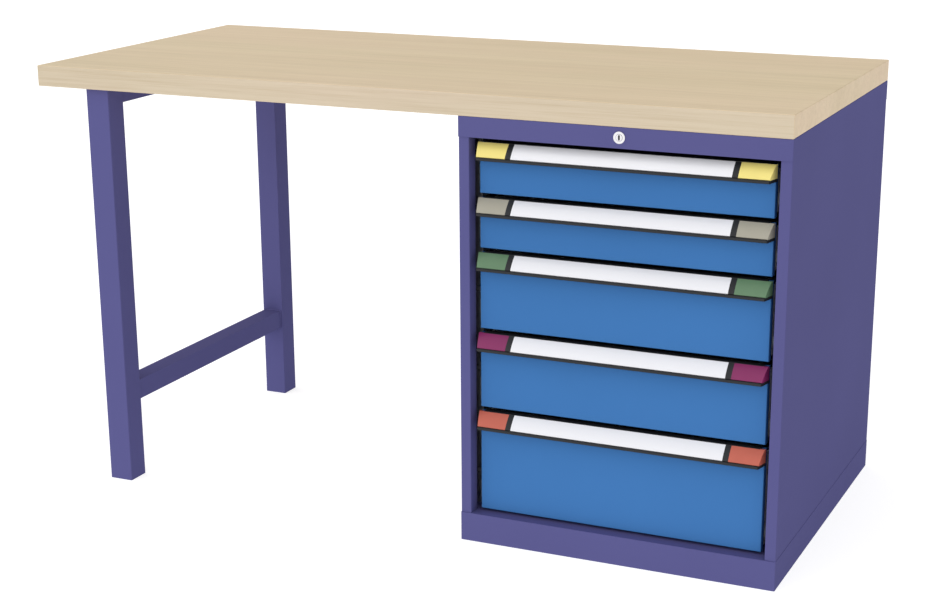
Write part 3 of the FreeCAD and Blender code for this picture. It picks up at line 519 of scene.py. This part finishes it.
def make_key_insert():
    """Dark insert round the key slot, with the notched keyway in it and a black shutter just behind as
    painted shade for the deep keyway.
    """
    low, high = (Vector(corner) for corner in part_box("lock_cylinder"))
    axis = middle((low, high))
    inner = [(x * KEYWAY[0], z * KEYWAY[1]) for x, z in KEYWAY_OUTLINE]
    outer = []
    for x, z in KEYWAY_OUTLINE:
        turn = math.atan2(z, x * INSERT[1] / INSERT[0])
        outer.append(tuple(
            across / 2 * math.copysign(abs(part) ** INSERT_ROUNDNESS, part)
            for across, part in zip(INSERT, (math.cos(turn), math.sin(turn)))
        ))
    front, back = low.y - INSERT_PROUD, low.y + INSERT_DEEP
    rings = [(outer, back), (outer, front), (inner, front), (inner, back)]
    vertices = [(axis.x + x, depth, axis.z + z) for ring, depth in rings for x, z in ring]
    count = len(KEYWAY_OUTLINE)
    faces = []
    for near in range(0, 3 * count, count):
        for index in range(count):
            follower = (index + 1) % count
            faces.append((near + index, near + follower, near + count + follower, near + count + index))
    # painted shade: the black shutter that closes the keyway just behind the face
    faces.append(tuple(range(3 * count, 4 * count)))
    faces.append(tuple(reversed(range(count))))
    add_piece("key_insert", vertices, faces, "black_plastic", "lock_cylinder")


for number in DRAWERS:
    make_tray(number)
make_welds()
make_key_insert()
round_off(frame["nodes"]["worktop"], BOARD_ROUNDING)
round_off(frame["nodes"]["lock_housing"], BEZEL_ROUNDING)
round_off(frame["nodes"]["lock_cylinder"], CYLINDER_ROUNDING)

# ---------------------------------------------------------------- camera, floor and light

# the camera's direction and roll in degrees
AZIMUTH = 24.10
ELEVATION = 16.78
ROLL = -0.25
# the camera's place, right and in front of the board's front left corner, and above the floor
CAMERA_RIGHT = 2.2687
CAMERA_AHEAD = 2.9521
CAMERA_HEIGHT = 1.3492
FOCAL_LENGTH = 72.67
LENS_SHIFT = (-0.0247, 0.0481)
FLOOR_HALF_SIZE = 60.0
FLOOR_WHITENESS = 0.5
FLOOR_GLOW = 0.7
FRONT_LEFT = (-0.45, -0.9, 0.0)
BACKDROP = 1.05


def add_camera():
    """Three-quarter view from the front right, with the lens shifted as in a cropped picture."""
    data = bpy.data.cameras.new("camera")
    data.sensor_width = 36.0
    data.lens = FOCAL_LENGTH
    data.shift_x, data.shift_y = LENS_SHIFT
    data.clip_start = 0.05
    data.clip_end = 200.0
    camera = bpy.data.objects.new("camera", data)
    turn = (
        Matrix.Rotation(math.radians(AZIMUTH), 4, "Z")
        @ Matrix.Rotation(math.pi / 2 - math.radians(ELEVATION), 4, "X")
        @ Matrix.Rotation(math.radians(ROLL), 4, "Z")
    )
    corner = Vector(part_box("worktop")[0])
    place = Matrix.Translation((corner.x + CAMERA_RIGHT, corner.y - CAMERA_AHEAD, CAMERA_HEIGHT))
    camera.matrix_world = place @ turn
    bpy.context.scene.collection.objects.link(camera)
    bpy.context.scene.camera = camera


def add_floor():
    """Plain floor that glows as a light table does, so that its shadows stay faint."""
    mesh = bpy.data.meshes.new("floor")
    sides = ((-1, -1), (1, -1), (1, 1), (-1, 1))
    corners = [(x * FLOOR_HALF_SIZE, y * FLOOR_HALF_SIZE, 0) for x, y in sides]
    mesh.from_pydata(corners, [], [(0, 1, 2, 3)])
    floor = bpy.data.objects.new("floor", mesh)
    material = bpy.data.materials.new("floor")
    material.use_nodes = True
    shader = material.node_tree.nodes["Principled BSDF"]
    shader.inputs["Base Color"].default_value = (FLOOR_WHITENESS, FLOOR_WHITENESS, FLOOR_WHITENESS, 1)
    shader.inputs["Roughness"].default_value = 0.9
    shader.inputs["Emission Color"].default_value = (1, 1, 1, 1)
    shader.inputs["Emission Strength"].default_value = FLOOR_GLOW
    mesh.materials.append(material)
    bpy.context.scene.collection.objects.link(floor)


def add_light(name, spot, target, size, power):
    """Soft square area light that faces a target."""
    data = bpy.data.lights.new(name, "AREA")
    data.size = size
    data.energy = power
    lamp = bpy.data.objects.new(name, data)
    lamp.location = spot
    lamp.rotation_mode = "QUATERNION"
    lamp.rotation_quaternion = (Vector(target) - Vector(spot)).to_track_quat("-Z", "Y")
    bpy.context.scene.collection.objects.link(lamp)


def add_world(strength, lean):
    """White surround, brighter towards the front left by the share lean, with a plain white backdrop."""
    world = bpy.data.worlds.new("world")
    world.use_nodes = True
    nodes, links = world.node_tree.nodes, world.node_tree.links
    direction = nodes.new("ShaderNodeTexCoord").outputs["Generated"]
    facing = nodes.new("ShaderNodeVectorMath")
    facing.operation = "DOT_PRODUCT"
    facing.inputs[1].default_value = Vector(FRONT_LEFT).normalized() * lean * strength
    links.new(direction, facing.inputs[0])
    level = nodes.new("ShaderNodeMath")
    level.operation = "ADD"
    level.inputs[1].default_value = strength
    links.new(facing.outputs["Value"], level.inputs[0])
    background = nodes["Background"]
    background.inputs["Color"].default_value = (1, 1, 1, 1)
    seen = nodes.new("ShaderNodeMix")
    links.new(nodes.new("ShaderNodeLightPath").outputs["Is Camera Ray"], seen.inputs[0])
    links.new(level.outputs["Value"], seen.inputs[2])
    seen.inputs[3].default_value = BACKDROP
    links.new(seen.outputs[0], background.inputs["Strength"])
    bpy.context.scene.world = world


bpy.context.scene.view_settings.view_transform = "Standard"
add_camera()
add_floor()
add_world(strength=1.0, lean=0.65)
add_light("key", spot=(-2.4, -5.5, 0.9), target=(0.0, 0.0, 0.45), size=2.5, power=8.0)
